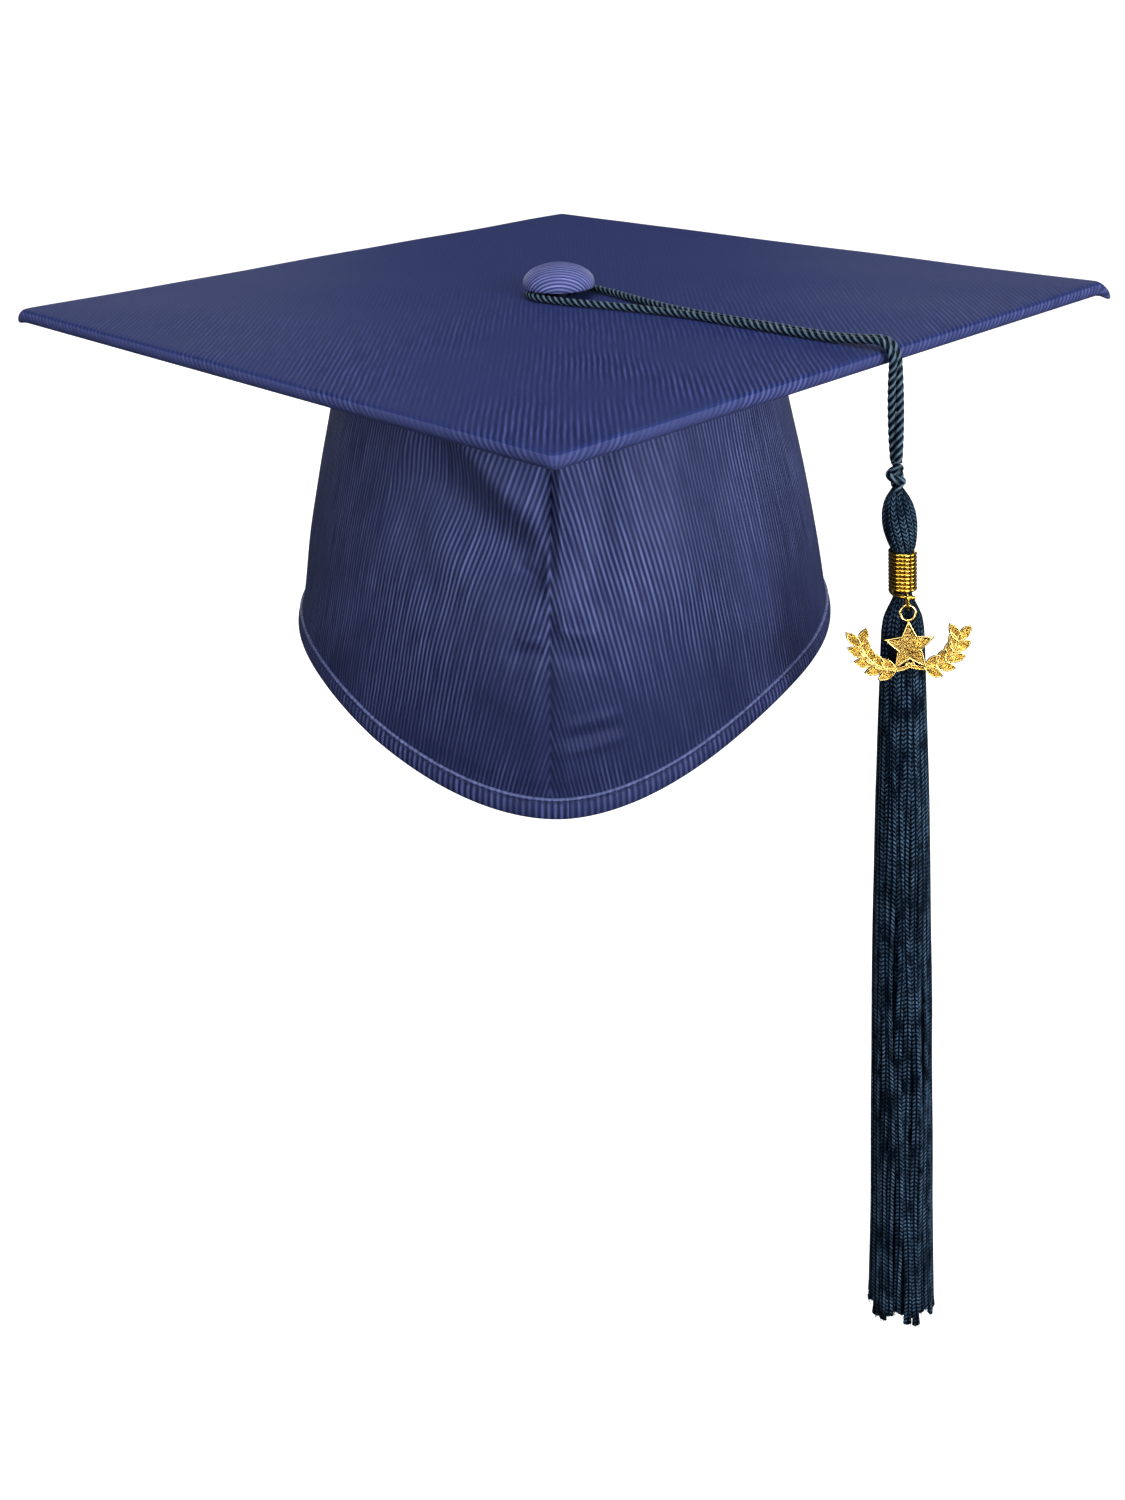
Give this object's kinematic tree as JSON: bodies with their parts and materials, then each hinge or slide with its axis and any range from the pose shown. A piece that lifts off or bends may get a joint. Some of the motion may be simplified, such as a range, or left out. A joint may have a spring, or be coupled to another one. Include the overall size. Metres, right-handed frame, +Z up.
{
  "type": "graduation cap",
  "caption": "Mortarboard graduation cap with a square cloth-covered board, fitted skull crown, covered button and hanging tassel with a metal charm.",
  "frame": {"origin": "middle of the head opening, 5 mm below the rim at its two sides and 16 mm above its low point on the forehead", "axes": "+Z up through the button, -Y towards the front corner of the board and the front seam, +X towards the wearer's left"},
  "size_m": [0.3388, 0.3388, 0.3113],
  "materials": {
    "satin": "shiny navy ribbed satin",
    "board_card": "stiff grey-brown card",
    "buckram": "stiffened open-weave lining",
    "seam_tape": "matt woven tape",
    "elastic": "woven elastic",
    "sweatband": "matt inner band",
    "button_metal": "pressed tinplate",
    "rayon_cord": "glossy twisted rayon, dark teal navy",
    "rayon_skirt": "knitted rayon chainette",
    "gold_wire": "polished gold wire",
    "gold_charm": "gold glitter face with a polished rim"
  },
  "bodies": {
    "cap": {"board_top_cover": "satin", "board_under_cover": "satin", "button_cover": "satin", "crown_panel_left": "satin", "crown_panel_right": "satin", "rim_binding": "satin", "board_core": "board_card", "crown_tip": "buckram", "crown_stiffener_left": "buckram", "crown_stiffener_right": "buckram", "front_seam_tape": "seam_tape", "back_seam_tape": "seam_tape", "back_elastic": "elastic", "sweatband": "sweatband", "button_shell": "button_metal", "button_back_plate": "button_metal", "button_rivet": "button_metal", "rivet_washer": "button_metal"},
    "cord_run": {"cord_loop": "rayon_cord"},
    "cord_drop": {"cord_drop_front": "rayon_cord", "cord_drop_back": "rayon_cord", "cord_knot": "rayon_cord"},
    "tassel": {"tassel_head": "rayon_skirt", "neck_binding": "rayon_cord", "ferrule_coil": "gold_wire", "skirt_strand_01": "rayon_skirt", "skirt_strand_02": "rayon_skirt", "skirt_strand_03": "rayon_skirt", "skirt_strand_04": "rayon_skirt", "skirt_strand_05": "rayon_skirt", "skirt_strand_06": "rayon_skirt", "skirt_strand_07": "rayon_skirt", "skirt_strand_08": "rayon_skirt", "skirt_strand_09": "rayon_skirt", "skirt_strand_10": "rayon_skirt", "skirt_strand_11": "rayon_skirt", "skirt_strand_12": "rayon_skirt", "skirt_strand_13": "rayon_skirt", "skirt_strand_14": "rayon_skirt", "skirt_strand_15": "rayon_skirt", "skirt_strand_16": "rayon_skirt", "skirt_strand_17": "rayon_skirt", "skirt_strand_18": "rayon_skirt", "skirt_strand_19": "rayon_skirt"},
    "charm_link": {"charm_link": "gold_wire"},
    "charm": {"charm": "gold_charm"}
  },
  "joints": [
    {"name": "tassel_turn", "type": "hinge", "parent": "cap", "child": "cord_run", "pos_m": [0, 0, 0.108], "axis": [0, 0, 1], "continuous": true, "deforming": ["cord_loop"]},
    {"name": "tassel_lift", "type": "hinge", "parent": "cord_run", "child": "cord_drop", "pos_m": [0.0851, -0.08218, 0.1057], "axis": [-0.6947, -0.7193, 0], "range_deg": [0, 100], "deforming": ["cord_drop_front", "cord_drop_back"]},
    {"name": "tassel_sway", "type": "hinge", "parent": "cord_drop", "child": "tassel", "pos_m": [0.08968, -0.0866, 0.07455], "axis": [0.7187, -0.694, 0.0436], "range_deg": [-60, 60]},
    {"name": "link_swing", "type": "hinge", "parent": "tassel", "child": "charm_link", "pos_m": [0.0908, -0.09309, 0.0419], "axis": [-0.9994, -0.0179, -0.0308], "range_deg": [0, 70]},
    {"name": "charm_swing", "type": "hinge", "parent": "charm_link", "child": "charm", "pos_m": [0.09087, -0.09359, 0.03987], "axis": [0.0101, -0.9712, 0.2379], "range_deg": [-35, 35]}
  ]
}
